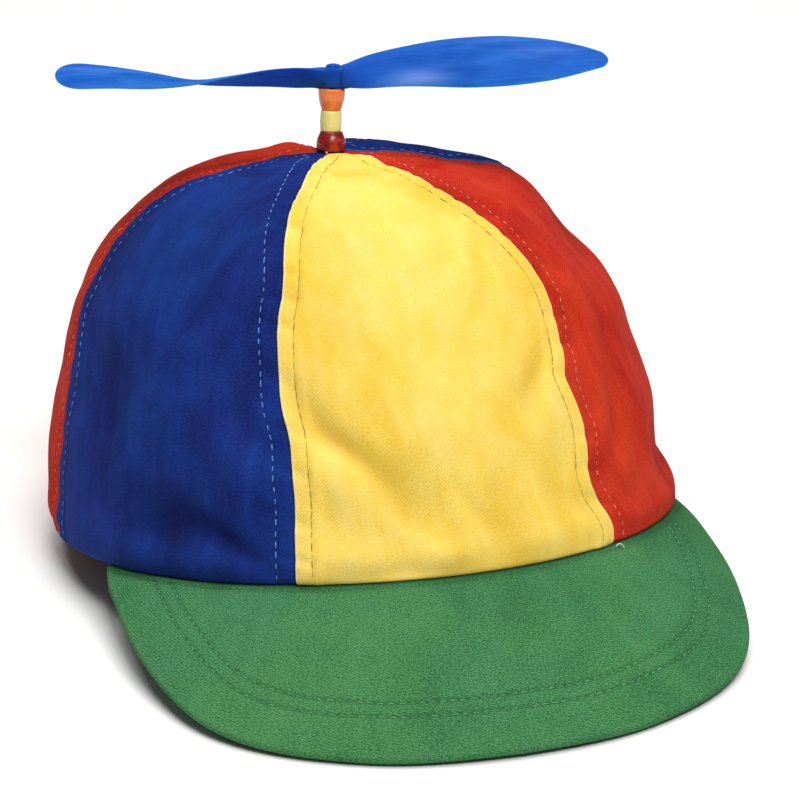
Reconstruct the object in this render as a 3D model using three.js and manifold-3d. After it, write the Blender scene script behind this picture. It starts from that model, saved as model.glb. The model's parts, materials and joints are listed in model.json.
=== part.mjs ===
// Propeller beanie: a cap of six cotton panels with a stiffened brim, and a plastic propeller
// that turns on a pin through three beads. Millimetres, +Z up, the brim towards -Y and the
// wearer's left towards +X. The cap stands as it does on a table, on the back of its rim and
// the front of its brim.

import * as THREE from 'three';
import { mergeVertices } from 'three/addons/utils/BufferGeometryUtils.js';
import Module from 'manifold-3d';

const wasm = await Module();
wasm.setup();

// Clearance between pieces that touch
const GAP = 0.3;

// Crown, outside sizes
const HEAD_WIDTH = 184;
const HEAD_DEPTH = 190;
const CROWN_HEIGHT = 103;
const CLOTH = 2;
const TOP_SIDE = -3.7; // the top of the crown, off the middle of the rim
const TOP_BACK = 6.7;
const SIDE_POWER = 3.77; // the crown's profile: radius ** SIDE_POWER + height ** TOP_POWER = 1
const TOP_POWER = 1.49;
const SWELL = 0.012; // how far the side stands out at half height, a share of the radius
const FRONT_SLANT = 0.038; // how far the front leans back there, a share of the radius
const RIM_SADDLE = 1.15; // the rim rises this much at front and back and drops at the sides
const SEAM_SINK = 0.8; // the seams lie this far below the middles of the panels
const SEAM_TURN = THREE.MathUtils.degToRad(1.8);
const TOP_HOLE = 2.6; // radius of the hole that the pin passes through

// Brim
const BRIM_REACH = 58.8;
const BRIM_THICKNESS = 2.5; // measured upright
const BRIM_HALF_ANGLE = THREE.MathUtils.degToRad(67.7);
const BRIM_SLOPE = THREE.MathUtils.degToRad(34.5);
const BRIM_SLOPE_LOSS = THREE.MathUtils.degToRad(5.5); // how much flatter it is at its ends
const BRIM_ARCH = 1.5; // how far the middle of the slope stands above a straight line

// How far the cloth gives where it rests
const SETTLE = 0.8;

// Beads and pin
const LEAN = THREE.MathUtils.degToRad(4.6); // the pin leans towards +X
const SHAFT_RADIUS = 0.8;
const WASHER_RADIUS = 4.2;
const WASHER_THICKNESS = 1.2;
const HEAD_RADIUS = 2.8;
const HEAD_HEIGHT = 1.3;
const RED_BEAD = { height: 5.4, foot: 4.2, belly: 4.2, top: 3.3 };
const YELLOW_BEAD = { height: 5.8, foot: 3.05, belly: 3.1, top: 3.05 };
const ORANGE_BEAD = { height: 6.1, foot: 2.9, belly: 3.8, top: 3.7 };
const BEAD_ROUNDING = 0.12; // the rounded rim of a bead, a share of its height
const BELLY_FROM = 0.45; // the widest stretch of a bead, shares of its height
const BELLY_TO = 0.6;

// Propeller
const BLADE_LENGTH = 80.3;
const BLADE_CHORD = 25;
const BLADE_THICKNESS = 1.1;
const BLADE_CAMBER = 0.03; // a share of the chord
const PROPELLER_TURN = THREE.MathUtils.degToRad(-12);
const HUB_RADIUS = 3.3;
const HUB_HEIGHT = 6.2;
const BLADE_LEVEL = 3.6; // above the underside of the hub
const BORE_RADIUS = SHAFT_RADIUS + GAP + 0.05;

// Grid of the cloth and round counts
const PANEL_COLUMNS = 12;
const PANEL_ROWS = 20;
const BRIM_COLUMNS = 32;
const BLADE_STATIONS = 16;
const BLADE_ROWS = 4;
const ROUND = 24;
const DOME_STEPS = 4;

// Photo colours
const BLUE = '#1f3a8f';
const YELLOW = '#fbd94a';
const RED = '#d9402a';
const GREEN = '#3f9a4e';
const BEAD_RED = '#8f1e12';
const BEAD_YELLOW = '#f2df7a';
const BEAD_ORANGE = '#f0602a';
const PLASTIC_BLUE = '#2060bc';

// The panels in order round the crown, from the front towards +X
const PANELS = [
  { name: 'panel_front', colour: YELLOW },
  { name: 'panel_front_left', colour: RED },
  { name: 'panel_back_left', colour: BLUE },
  { name: 'panel_back', colour: YELLOW },
  { name: 'panel_back_right', colour: RED },
  { name: 'panel_front_right', colour: BLUE },
];

// Sideways bends of the seams. Seam 0 follows the front panel, seam 5 comes before it.
// lift and spread are shares of the way up the crown, sway is a share of HEAD_WIDTH.
const SEAM_BENDS = [
  { seam: 5, lift: 0.14, spread: 0.09, sway: 0.008 },
  { seam: 5, lift: 0.3, spread: 0.1, sway: -0.015 },
  { seam: 5, lift: 0.55, spread: 0.14, sway: -0.01 },
  { seam: 0, lift: 0.17, spread: 0.06, sway: -0.005 },
  { seam: 0, lift: 0.4, spread: 0.09, sway: 0.021 },
  { seam: 0, lift: 0.66, spread: 0.12, sway: -0.019 },
  { seam: 4, lift: 0.1, spread: 0.12, sway: -0.026 },
  { seam: 4, lift: 0.45, spread: 0.13, sway: -0.032 },
  { seam: 4, lift: 0.78, spread: 0.12, sway: 0.018 },
  { seam: 1, lift: 0.4, spread: 0.14, sway: 0.01 },
  { seam: 1, lift: 0.76, spread: 0.13, sway: -0.03 },
  { seam: 2, lift: 0.3, spread: 0.13, sway: -0.009 },
  { seam: 3, lift: 0.45, spread: 0.14, sway: 0.011 },
];

// Broad folds and dents. across runs over the panel from seam to seam and lift up it, both as
// shares; length, width and depth are shares of CROWN_HEIGHT, and a dent's depth is negative.
const FOLDS = [
  { panel: 0, across: 0.42, lift: 0.26, length: 0.34, width: 0.1, tilt: -38, depth: 0.014 },
  { panel: 0, across: 0.18, lift: 0.36, length: 0.3, width: 0.12, tilt: 70, depth: -0.015 },
  { panel: 0, across: 0.96, lift: 0.66, length: 0.3, width: 0.15, tilt: 88, depth: -0.018 },
  { panel: 0, across: 0.85, lift: 0.16, length: 0.22, width: 0.1, tilt: -30, depth: -0.012 },
  { panel: 1, across: 0.04, lift: 0.66, length: 0.3, width: 0.15, tilt: 92, depth: -0.018 },
  { panel: 1, across: 0.72, lift: 0.13, length: 0.5, width: 0.08, tilt: 4, depth: -0.036 },
  { panel: 1, across: 0.74, lift: 0.35, length: 0.5, width: 0.09, tilt: 0, depth: 0.014 },
  { panel: 1, across: 0.84, lift: 0.62, length: 0.4, width: 0.08, tilt: 0, depth: 0.01 },
  { panel: 2, across: 0.85, lift: 0.78, length: 0.4, width: 0.12, tilt: 0, depth: 0.014 },
  { panel: 2, across: 0.4, lift: 0.3, length: 0.4, width: 0.14, tilt: 60, depth: -0.018 },
  { panel: 2, across: 0.7, lift: 0.14, length: 0.3, width: 0.1, tilt: -20, depth: 0.012 },
  { panel: 3, across: 0.5, lift: 0.32, length: 0.42, width: 0.15, tilt: 10, depth: -0.02 },
  { panel: 3, across: 0.3, lift: 0.6, length: 0.35, width: 0.14, tilt: 55, depth: 0.013 },
  { panel: 4, across: 0.72, lift: 0.14, length: 0.5, width: 0.12, tilt: 0, depth: 0.013 },
  { panel: 4, across: 0.56, lift: 0.59, length: 0.5, width: 0.12, tilt: 0, depth: -0.008 },
  { panel: 5, across: 0.62, lift: 0.11, length: 0.32, width: 0.08, tilt: -20, depth: -0.018 },
  { panel: 5, across: 0.3, lift: 0.3, length: 0.36, width: 0.14, tilt: 65, depth: -0.014 },
  { panel: 5, across: 0.82, lift: 0.42, length: 0.28, width: 0.12, tilt: 80, depth: -0.014 },
];
const FOLD_FADE = 0.09; // the share of the way up over which folds and dents come in

// The brim's outline: turn is a share of BRIM_HALF_ANGLE, reach a share of BRIM_REACH.
const BRIM_OUTLINE = [
  { turn: 0, reach: 1 },
  { turn: 0.25, reach: 0.978 },
  { turn: 0.5, reach: 0.821 },
  { turn: 0.7, reach: 0.478 },
  { turn: 0.85, reach: 0.215 },
  { turn: 0.95, reach: 0.077 },
  { turn: 1, reach: 0 },
];

// Across the brim, from its front edge to the edge under the crown's wall
const BRIM_ACROSS = [1, 0.75, 0.5, 0.25, 0];

// Blade sections. out and rise are shares of BLADE_LENGTH, chord is a share of BLADE_CHORD,
// and pitch is in degrees. The second blade is warped, as thin moulded plastic often is.
const FIRST_BLADE = [
  { out: 0.03, chord: 0.38, pitch: 36, rise: 0.002 },
  { out: 0.2, chord: 0.71, pitch: 33, rise: 0.032 },
  { out: 0.35, chord: 0.85, pitch: 32.5, rise: 0.053 },
  { out: 0.5, chord: 0.95, pitch: 31.5, rise: 0.065 },
  { out: 0.65, chord: 1, pitch: 29.5, rise: 0.075 },
  { out: 0.8, chord: 0.8, pitch: 29.5, rise: 0.083 },
  { out: 0.92, chord: 0.47, pitch: 29.5, rise: 0.087 },
  { out: 1, chord: 0.12, pitch: 31, rise: 0.087 },
];
const SECOND_BLADE = [
  { out: 0.03, chord: 0.38, pitch: 34, rise: -0.002 },
  { out: 0.2, chord: 0.69, pitch: 21.5, rise: -0.011 },
  { out: 0.35, chord: 0.8, pitch: 10.5, rise: -0.024 },
  { out: 0.5, chord: 0.92, pitch: 3.5, rise: -0.038 },
  { out: 0.65, chord: 1, pitch: -4, rise: -0.036 },
  { out: 0.8, chord: 1, pitch: -10, rise: -0.03 },
  { out: 0.92, chord: 0.8, pitch: -13.5, rise: -0.029 },
  { out: 1, chord: 0.25, pitch: -20, rise: -0.027 },
];

// Half the length of the crown's profile, near enough to place folds by
const PROFILE_LENGTH = (Math.PI / 4) * (CROWN_HEIGHT + HEAD_WIDTH / 2);
const PANEL_ANGLE = (2 * Math.PI) / PANELS.length;

// Smooth function through one column of a table
function curve(rows, position, value) {
  const places = rows.map((row) => row[position]);
  const values = rows.map((row) => row[value]);
  const spline = new THREE.CubicInterpolant(places, values, 1, new Float64Array(1));
  return (place) => spline.evaluate(place)[0];
}

// A closed solid from two grids of points, the upper or outer one and the lower or inner one.
// The outer side looks along the cross product of the way across and the way up.
function sheetGeometry(columns, rows, outer, inner) {
  const positions = [];
  for (const point of [outer, inner]) {
    for (let j = 0; j <= rows; j += 1) {
      for (let i = 0; i <= columns; i += 1) {
        positions.push(...point(i / columns, j / rows).toArray());
      }
    }
  }
  const index = [];
  const layer = (columns + 1) * (rows + 1);
  const at = (i, j) => j * (columns + 1) + i;
  const quad = (a, b, c, d) => index.push(a, b, c, a, c, d);
  for (let j = 0; j < rows; j += 1) {
    for (let i = 0; i < columns; i += 1) {
      const ring = [at(i, j), at(i + 1, j), at(i + 1, j + 1), at(i, j + 1)];
      quad(...ring);
      quad(...ring.map((k) => k + layer).reverse());
    }
  }
  const edge = (from, to) => quad(from, from + layer, to + layer, to);
  for (let i = 0; i < columns; i += 1) {
    edge(at(i, 0), at(i + 1, 0));
    edge(at(i + 1, rows), at(i, rows));
  }
  for (let j = 0; j < rows; j += 1) {
    edge(at(columns, j), at(columns, j + 1));
    edge(at(0, j + 1), at(0, j));
  }
  const geometry = new THREE.BufferGeometry();
  geometry.setAttribute('position', new THREE.Float32BufferAttribute(positions, 3));
  geometry.setIndex(index);
  return geometry;
}

// Radius and height of the crown's profile as shares, for lift from 0 at the rim to 1 on top
function profile(lift) {
  const radius = Math.cos((lift * Math.PI) / 2);
  const height = Math.max(1 - radius ** SIDE_POWER, 0) ** (1 / TOP_POWER);
  return { radius, height };
}

// A point of the smooth crown; angle goes round from the front towards +X
function crownPoint(angle, lift) {
  const { radius, height } = profile(lift);
  const stand = (SWELL - FRONT_SLANT * Math.cos(angle)) * 4 * height * (1 - height);
  return new THREE.Vector3(
    (HEAD_WIDTH / 2) * Math.sin(angle) * (radius + stand) + TOP_SIDE * height,
    (-HEAD_DEPTH / 2) * Math.cos(angle) * (radius + stand) + TOP_BACK * height,
    CROWN_HEIGHT * height + RIM_SADDLE * Math.cos(2 * angle) * (1 - height),
  );
}

// The way out of the smooth crown at a point of it
function crownOut(angle, lift) {
  const step = 0.01;
  const around = crownPoint(angle + step, lift).sub(crownPoint(angle - step, lift));
  const low = Math.max(lift - step, 0);
  const upward = crownPoint(angle, low + 2 * step).sub(crownPoint(angle, low));
  return around.cross(upward).normalize();
}

// The angle of a seam at some height
function seamAngle(seam, lift) {
  const even = (seam + 0.5) * PANEL_ANGLE + SEAM_TURN;
  const bends = SEAM_BENDS.filter((row) => row.seam === (seam + PANELS.length) % PANELS.length);
  const sway = bends.reduce(
    (sum, row) => sum + row.sway * Math.exp(-(((lift - row.lift) / row.spread) ** 2)),
    0,
  );
  return even + (sway * HEAD_WIDTH) / (profile(lift).radius * (HEAD_WIDTH / 2) + TOP_HOLE);
}

// How far a panel stands out from the smooth crown
function relief(panel, across, lift) {
  const { radius } = profile(lift);
  const sink = -SEAM_SINK * (2 * across - 1) ** 2 * radius;
  const panelWidth = PANEL_ANGLE * (HEAD_WIDTH / 2) * radius;
  const folds = FOLDS.filter((row) => row.panel === panel).reduce((sum, row) => {
    const x = (across - row.across) * panelWidth;
    const y = (lift - row.lift) * PROFILE_LENGTH;
    const tilt = THREE.MathUtils.degToRad(row.tilt);
    const along = (x * Math.cos(tilt) + y * Math.sin(tilt)) / (row.length * CROWN_HEIGHT);
    const beside = (y * Math.cos(tilt) - x * Math.sin(tilt)) / (row.width * CROWN_HEIGHT);
    return sum + row.depth * CROWN_HEIGHT * Math.exp(-(along ** 2) * 4 - beside ** 2);
  }, 0);
  return (sink + folds) * Math.min(lift / FOLD_FADE, 1);
}

// The rim's outer edge, the way out of it in the rim's plane, and the brim's top and underside
function rimOut(angle) {
  return crownOut(angle, 0).setZ(0).normalize();
}
const brimOutline = curve(BRIM_OUTLINE, 'turn', 'reach');

function brimPoint(turn, across, depth) {
  const angle = turn * BRIM_HALF_ANGLE;
  const out = rimOut(angle);
  const point = crownPoint(angle, 0);
  point.z -= GAP + depth;
  if (across < 0) {
    return point.addScaledVector(out, across * CLOTH);
  }
  const slope = BRIM_SLOPE - BRIM_SLOPE_LOSS * turn ** 2;
  const reach = across * BRIM_REACH * Math.max(brimOutline(Math.abs(turn)), 0);
  point.addScaledVector(out, reach * Math.cos(slope));
  point.z += BRIM_ARCH * 4 * across * (1 - across) * (1 - turn ** 2) - reach * Math.sin(slope);
  return point;
}

// The tilt at which the back of the rim and the front of the brim touch one level surface
const backOfRim = crownPoint(Math.PI, 0);
const brimUnderEdge = Array.from({ length: BRIM_COLUMNS + 1 }, (_, i) =>
  brimPoint((2 * i) / BRIM_COLUMNS - 1, 1, BRIM_THICKNESS),
);
const restTilt = Math.max(
  ...brimUnderEdge.map((point) => Math.atan2(backOfRim.z - point.z, backOfRim.y - point.y)),
);
const floorUp = new THREE.Vector3(0, -Math.sin(restTilt), Math.cos(restTilt));
const floorLevel = backOfRim.dot(floorUp) + SETTLE;

// Cloth flattened where it would reach through the surface that it rests on
function settled(point) {
  const height = point.dot(floorUp) - floorLevel;
  return height < 0 ? point.addScaledVector(floorUp, -height) : point;
}

// One cloth panel between two seams, from the rim up to the hole on top
function panelGeometry(panel) {
  const topLift = (Math.acos(TOP_HOLE / (HEAD_WIDTH / 2)) * 2) / Math.PI;
  const surface = (across, up, depth) => {
    const lift = up * topLift;
    const ring = profile(lift).radius * (HEAD_WIDTH / 2);
    const from = seamAngle(panel - 1, lift) + GAP / 2 / ring;
    const to = seamAngle(panel, lift) - GAP / 2 / ring;
    const angle = THREE.MathUtils.lerp(from, to, across);
    const point = crownPoint(angle, lift);
    const out = up === 0 ? rimOut(angle) : crownOut(angle, lift);
    return settled(point.addScaledVector(out, relief(panel, across, lift) - depth));
  };
  return sheetGeometry(
    PANEL_COLUMNS,
    PANEL_ROWS,
    (across, up) => surface(across, up, 0),
    (across, up) => surface(across, up, CLOTH),
  );
}

// The brim: flat under the crown's wall, then sloping down to its front edge
function brimGeometry() {
  const stations = [...BRIM_ACROSS, -1];
  const place = (i, j, depth) =>
    settled(brimPoint(2 * i - 1, stations[Math.round(j * (stations.length - 1))], depth));
  return sheetGeometry(
    BRIM_COLUMNS,
    stations.length - 1,
    (i, j) => place(i, j, 0),
    (i, j) => place(i, j, BRIM_THICKNESS),
  );
}

// A turned piece about Z from a closed outline of [radius, height] pairs, given counterclockwise
function turned(outline) {
  const points = outline.map(([radius, height]) => new THREE.Vector2(radius, height));
  return new THREE.LatheGeometry([...points, points[0]], ROUND).rotateX(Math.PI / 2);
}

// A bead with its bore: rounded at both rims, from its foot over its belly to its top
function beadGeometry({ height, foot, belly, top }) {
  const round = BEAD_ROUNDING * height;
  return turned([
    [BORE_RADIUS, 0],
    [foot - round, 0],
    [foot, round],
    [belly, height * BELLY_FROM],
    [belly, height * BELLY_TO],
    [top, height - round],
    [top - round, height],
    [BORE_RADIUS, height],
  ]);
}

// Heights along the pin, from the top of the crown
const leanRise = (radius) => GAP + radius * Math.sin(LEAN);
const redFoot = leanRise(RED_BEAD.foot);
const yellowFoot = redFoot + RED_BEAD.height + GAP;
const orangeFoot = yellowFoot + YELLOW_BEAD.height + GAP;
const hubFoot = orangeFoot + ORANGE_BEAD.height + GAP;
const headFoot = hubFoot + HUB_HEIGHT + GAP;
const washerTop = -CLOTH - leanRise(WASHER_RADIUS);

// The pin: a washer inside the crown, a shaft, and a domed head on the hub
function pinGeometry() {
  const dome = Array.from({ length: DOME_STEPS + 1 }, (_, i) => {
    const angle = ((i / DOME_STEPS) * Math.PI) / 2;
    return [HEAD_RADIUS * Math.cos(angle), headFoot + HEAD_HEIGHT * Math.sin(angle)];
  });
  dome[DOME_STEPS][0] = 0;
  return turned([
    [0, washerTop - WASHER_THICKNESS],
    [WASHER_RADIUS, washerTop - WASHER_THICKNESS],
    [WASHER_RADIUS, washerTop],
    [SHAFT_RADIUS, washerTop],
    [SHAFT_RADIUS, headFoot],
    ...dome,
  ]);
}

// A solid for cutting and joining from a closed mesh
function solid(geometry) {
  const plain = geometry.clone();
  plain.deleteAttribute('normal');
  plain.deleteAttribute('uv');
  const merged = mergeVertices(plain, 1e-5);
  return new wasm.Manifold(
    new wasm.Mesh({
      numProp: 3,
      vertProperties: new Float32Array(merged.attributes.position.array),
      triVerts: new Uint32Array(merged.index.array),
    }),
  );
}

function geometryOf(manifold) {
  const mesh = manifold.getMesh();
  const geometry = new THREE.BufferGeometry();
  geometry.setAttribute('position', new THREE.BufferAttribute(mesh.vertProperties, 3));
  geometry.setIndex(new THREE.BufferAttribute(mesh.triVerts, 1));
  return geometry;
}

// One blade along +X from the hub's middle, with its hind edge raised by its pitch
function bladeGeometry(sections) {
  const chordAt = curve(sections, 'out', 'chord');
  const pitchAt = curve(sections, 'out', 'pitch');
  const riseAt = curve(sections, 'out', 'rise');
  const root = sections[0].out;
  const surface = (along, across, side) => {
    const out = THREE.MathUtils.lerp(root, 1, along);
    const chord = chordAt(out) * BLADE_CHORD;
    const pitch = THREE.MathUtils.degToRad(pitchAt(out));
    const flat = (across - 0.5) * chord;
    const thick = BLADE_CAMBER * chord * 4 * across * (1 - across) + (side * BLADE_THICKNESS) / 2;
    return new THREE.Vector3(
      out * BLADE_LENGTH,
      flat * Math.cos(pitch) - thick * Math.sin(pitch),
      BLADE_LEVEL + riseAt(out) * BLADE_LENGTH + flat * Math.sin(pitch) + thick * Math.cos(pitch),
    );
  };
  return sheetGeometry(
    BLADE_STATIONS,
    BLADE_ROWS,
    (along, across) => surface(along, across, 1),
    (along, across) => surface(along, across, -1),
  );
}

// The propeller: two blades joined by a hub with a bore
function propellerGeometry() {
  const hub = turned([
    [0, 0],
    [HUB_RADIUS, 0],
    [HUB_RADIUS, HUB_HEIGHT],
    [0, HUB_HEIGHT],
  ]);
  const bore = new THREE.CylinderGeometry(BORE_RADIUS, BORE_RADIUS, HUB_HEIGHT * 3, ROUND)
    .rotateX(Math.PI / 2)
    .translate(0, 0, HUB_HEIGHT / 2);
  const first = bladeGeometry(FIRST_BLADE);
  const second = bladeGeometry(SECOND_BLADE).rotateZ(Math.PI);
  const joined = solid(hub).add(solid(first)).add(solid(second));
  return geometryOf(joined.subtract(solid(bore)));
}

function cloth(colour) {
  return new THREE.MeshStandardMaterial({ color: colour, roughness: 0.9, metalness: 0 });
}

function plastic(colour, roughness) {
  return new THREE.MeshStandardMaterial({ color: colour, roughness, metalness: 0 });
}

function piece(name, geometry, material) {
  const mesh = new THREE.Mesh(geometry, material);
  mesh.name = name;
  return mesh;
}

// Assembly
const cap = new THREE.Group();
PANELS.forEach(({ name, colour }, panel) => {
  cap.add(piece(name, panelGeometry(panel), cloth(colour)));
});
cap.add(piece('brim', brimGeometry(), cloth(GREEN)));

const stack = new THREE.Group();
stack.position.copy(crownPoint(0, 1));
stack.rotation.y = LEAN;
const beads = [
  { name: 'bead_red', size: RED_BEAD, foot: redFoot, colour: BEAD_RED },
  { name: 'bead_yellow', size: YELLOW_BEAD, foot: yellowFoot, colour: BEAD_YELLOW },
  { name: 'bead_orange', size: ORANGE_BEAD, foot: orangeFoot, colour: BEAD_ORANGE },
];
for (const { name, size, foot, colour } of beads) {
  const bead = piece(name, beadGeometry(size), plastic(colour, 0.2));
  bead.position.z = foot;
  stack.add(bead);
}
stack.add(piece('spindle', pinGeometry(), plastic(PLASTIC_BLUE, 0.35)));
const propeller = piece('propeller', propellerGeometry(), plastic(PLASTIC_BLUE, 0.35));
propeller.position.z = hubFoot;
propeller.rotation.z = PROPELLER_TURN;
stack.add(propeller);
cap.add(stack);

cap.rotation.x = -restTilt;
cap.updateMatrixWorld(true);
const box = new THREE.Box3().setFromObject(cap, true);
const middle = box.getCenter(new THREE.Vector3());
cap.position.set(-middle.x, -middle.y, -box.min.z);

const beanie = new THREE.Group();
beanie.name = 'propeller_beanie';
beanie.add(cap);
beanie.updateMatrixWorld(true);

export default beanie;
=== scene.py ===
import json
import math

import bpy
import numpy as np
from mathutils import Matrix, Vector


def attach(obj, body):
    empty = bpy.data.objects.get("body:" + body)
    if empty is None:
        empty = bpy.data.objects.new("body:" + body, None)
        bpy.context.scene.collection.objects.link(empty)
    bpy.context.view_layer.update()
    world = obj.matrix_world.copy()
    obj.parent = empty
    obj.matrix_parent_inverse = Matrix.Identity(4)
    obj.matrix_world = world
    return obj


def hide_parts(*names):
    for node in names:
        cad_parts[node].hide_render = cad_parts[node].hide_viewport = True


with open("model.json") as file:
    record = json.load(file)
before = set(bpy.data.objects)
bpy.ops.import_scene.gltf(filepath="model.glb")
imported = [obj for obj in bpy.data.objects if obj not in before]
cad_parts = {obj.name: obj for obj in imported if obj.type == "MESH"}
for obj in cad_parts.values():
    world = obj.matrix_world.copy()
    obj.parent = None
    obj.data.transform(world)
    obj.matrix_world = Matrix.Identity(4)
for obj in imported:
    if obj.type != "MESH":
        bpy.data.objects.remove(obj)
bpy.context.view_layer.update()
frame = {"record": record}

MM = 0.001

# Driving sizes, the same as the part's
GAP = 0.3
HEAD_WIDTH = 184.0
HEAD_DEPTH = 190.0
CROWN_HEIGHT = 103.0
CLOTH = 2.0
TOP_SIDE = -3.7
TOP_BACK = 6.7
SIDE_POWER = 3.77
TOP_POWER = 1.49
SWELL = 0.012
FRONT_SLANT = 0.038
RIM_SADDLE = 1.15
SEAM_SINK = 0.8
SEAM_TURN = math.radians(1.8)
TOP_HOLE = 2.6
BRIM_REACH = 58.8
BRIM_THICKNESS = 2.5
BRIM_HALF_ANGLE = math.radians(67.7)
BRIM_SLOPE = math.radians(34.5)
BRIM_SLOPE_LOSS = math.radians(5.5)
BRIM_ARCH = 1.5
BRIM_EDGE = 0.965  # share of the reach at which the edge rounds over
PANEL_ANGLE = math.pi / 3
PROFILE_LENGTH = math.pi / 4 * (CROWN_HEIGHT + HEAD_WIDTH / 2)

# Along the pin, from the top of the crown
BEADS = {
    "bead_red": {"foot_at": 0.64, "height": 5.6, "foot": 4.2, "belly": 4.25, "top": 3.4},
    "bead_yellow": {"foot_at": 6.26, "height": 6.1, "foot": 3.05, "belly": 3.15, "top": 3.05},
    "bead_orange": {"foot_at": 12.4, "height": 6.35, "foot": 2.95, "belly": 3.7, "top": 3.9},
}
BEAD_PLAY = {"bead_red": (0, 0), "bead_yellow": (-0.3, 0), "bead_orange": (-0.3, 0.1)}
BORE = 1.15
SHAFT_RADIUS = 0.8
WASHER_RADIUS = 4.2
WASHER_THICKNESS = 1.2
WASHER_TOP = -2.64
HUB_FOOT = 18.84
HUB_HEIGHT = 6.2
HUB_RADIUS = 3.3
HUB_REACH = 2.0  # how far the hub runs out into the blades
HUB_DROP = 0.9  # and how much lower it is there
HUB_ROLL = 1.1  # radius of the hub's rounded edges
BLADE_LEVEL = 3.6
PIN_HEAD_RADIUS = 2.3
PIN_HEAD_HEIGHT = 0.9
PIN_HEAD_GAP = 0.05

BLADE_LENGTH = 80.3
BLADE_CHORD = 25.0
BLADE_THICKNESS = 1.1
BLADE_CAMBER = 0.03
PROPELLER_TURN = math.radians(-12)

PANELS = ["panel_front", "panel_front_left", "panel_back_left",
          "panel_back", "panel_back_right", "panel_front_right"]
PANEL_COLOURS = ["yellow", "red", "blue", "yellow", "red", "blue"]

# Sideways bends of the seams: the seam, the middle and spread of the bend as shares of the
# way up, and its amount as a share of HEAD_WIDTH
SEAM_BENDS = [
    (5, 0.14, 0.09, 0.008),
    (5, 0.30, 0.10, -0.015),
    (5, 0.55, 0.14, -0.010),
    (0, 0.17, 0.06, -0.005),
    (0, 0.40, 0.09, 0.021),
    (0, 0.66, 0.12, -0.019),
    (4, 0.10, 0.12, -0.026),
    (4, 0.45, 0.13, -0.032),
    (4, 0.78, 0.12, 0.018),
    (1, 0.40, 0.14, 0.010),
    (1, 0.76, 0.13, -0.030),
    (2, 0.30, 0.13, -0.009),
    (2, 0.86, 0.12, 0.020),
    (3, 0.45, 0.14, 0.011),
    (3, 0.80, 0.15, -0.060),
    (0, 0.81, 0.07, -0.020),
    (0, 0.275, 0.03, -0.0105),
    (0, 0.205, 0.03, 0.0050),
    (0, 0.130, 0.03, -0.0090),
    (0, 0.045, 0.035, 0.0090),
    (5, 0.390, 0.045, -0.0060),
    (5, 0.235, 0.035, 0.0065),
    (5, 0.110, 0.040, -0.0035),
    (4, 0.385, 0.04, -0.010),
    (4, 0.290, 0.06, 0.009),
    (4, 0.750, 0.10, 0.015),
    (4, 0.900, 0.08, -0.018),
]

# Folds and dents: the broad ones, most of them the part's, and finer creases of the cloth.
# across and lift are shares of the panel, length, width and depth shares of CROWN_HEIGHT.
FOLD_COLUMNS = ("panel", "across", "lift", "length", "width", "tilt", "depth")
BROAD_FOLDS = [
    (0, 0.42, 0.26, 0.34, 0.10, -38, 0.014),
    (0, 0.18, 0.36, 0.30, 0.12, 70, -0.015),
    (0, 0.96, 0.66, 0.30, 0.15, 88, -0.018),
    (0, 0.85, 0.16, 0.22, 0.10, -30, -0.012),
    (1, 0.04, 0.66, 0.30, 0.15, 92, -0.018),
    (1, 0.72, 0.13, 0.50, 0.08, 4, -0.036),
    (1, 0.74, 0.35, 0.50, 0.09, 0, 0.014),
    (1, 0.84, 0.62, 0.40, 0.08, 0, 0.010),
    (1, 0.96, 0.77, 0.34, 0.11, 88, -0.026),
    (1, 0.80, 0.475, 0.55, 0.10, 0, -0.024),
    (2, 0.04, 0.77, 0.34, 0.11, 92, -0.018),
    (2, 0.12, 0.66, 0.30, 0.10, 90, 0.018),
    (2, 0.66, 0.76, 0.30, 0.10, 90, -0.016),
    (2, 0.97, 0.85, 0.40, 0.08, 90, 0.036),
    (2, 0.85, 0.78, 0.40, 0.12, 0, 0.014),
    (2, 0.40, 0.30, 0.40, 0.14, 60, -0.018),
    (2, 0.70, 0.14, 0.30, 0.10, -20, 0.012),
    (3, 0.50, 0.32, 0.42, 0.15, 10, -0.020),
    (3, 0.30, 0.60, 0.35, 0.14, 55, 0.013),
    (3, 0.55, 0.82, 0.60, 0.20, 0, -0.045),
    (3, 0.03, 0.84, 0.40, 0.08, 90, 0.018),
    (3, 0.70, 0.88, 0.40, 0.08, 90, -0.040),
    (4, 0.72, 0.14, 0.50, 0.12, 0, 0.013),
    (4, 0.56, 0.59, 0.50, 0.12, 0, -0.008),
    (4, 0.26, 0.90, 0.20, 0.06, 90, 0.026),
    (4, 0.72, 0.20, 0.70, 0.20, 0, -0.013),
    (5, 0.62, 0.11, 0.32, 0.08, -20, -0.018),
    (5, 0.30, 0.30, 0.36, 0.14, 65, -0.014),
    (5, 0.82, 0.42, 0.28, 0.12, 80, -0.014),
]
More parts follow.
